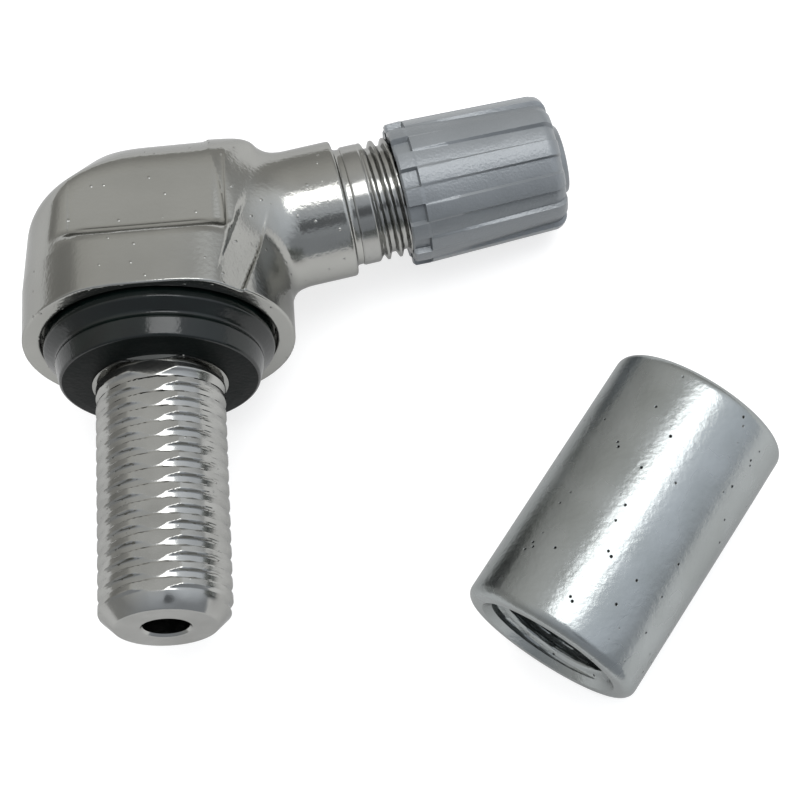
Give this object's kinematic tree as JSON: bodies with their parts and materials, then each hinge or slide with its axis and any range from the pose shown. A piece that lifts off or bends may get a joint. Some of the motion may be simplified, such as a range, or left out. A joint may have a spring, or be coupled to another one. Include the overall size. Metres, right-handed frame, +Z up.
{
  "type": "tyre valve",
  "caption": "Angled clamp-in tyre valve with rim seal, ribbed dust cap and sprung core, lying beside its round sleeve nut.",
  "frame": {"origin": "on the shank's axis, in the plane where the rim seal meets the rim", "axes": "-Y along the shank towards its tip, +Z up from the surface that the valve lies on, +X towards the neck and cap"},
  "size_m": [0.0452, 0.0407, 0.017],
  "materials": {
    "cast_alloy": "die cast and tumbled, bright",
    "plated_steel": "zinc plated, pitted",
    "seal_rubber": "moulded, satin",
    "gasket_rubber": "moulded",
    "core_brass": "turned",
    "spring_steel": "drawn wire",
    "cap_plastic": "moulded, satin grey"
  },
  "bodies": {
    "valve": {"valve_body": "cast_alloy", "rim_seal": "seal_rubber", "sleeve_nut": "plated_steel", "core_plug": "core_brass", "core_barrel": "core_brass", "core_gasket": "gasket_rubber", "core_spring": "spring_steel"},
    "pin": {"core_pin": "core_brass", "core_cup": "core_brass", "core_cup_seal": "seal_rubber"},
    "cap_liner": {"cap_washer": "seal_rubber"},
    "cap": {"cap_shell": "cap_plastic"}
  },
  "joints": [
    {"name": "pin_press", "type": "slide", "parent": "valve", "child": "pin", "axis": [-0.9732, -0.165, 0.1604], "range_m": [0, 0.0012], "stiffness_N_per_m": 400, "springref_m": -0.002, "deforming": ["core_spring"]},
    {"name": "cap_travel", "type": "slide", "parent": "valve", "child": "cap_liner", "axis": [0.9732, 0.165, -0.1604], "range_m": [0, 0.00794]},
    {"name": "cap_turn", "type": "hinge", "parent": "cap_liner", "child": "cap", "pos_m": [0.01946, 0.01285, -0.00321], "axis": [0.9732, 0.165, -0.1604], "range_deg": [0, 3600]}
  ],
  "couplings": [
    {"joint": "cap_turn", "follows": "cap_travel", "rad_per_m": 7915.8}
  ]
}
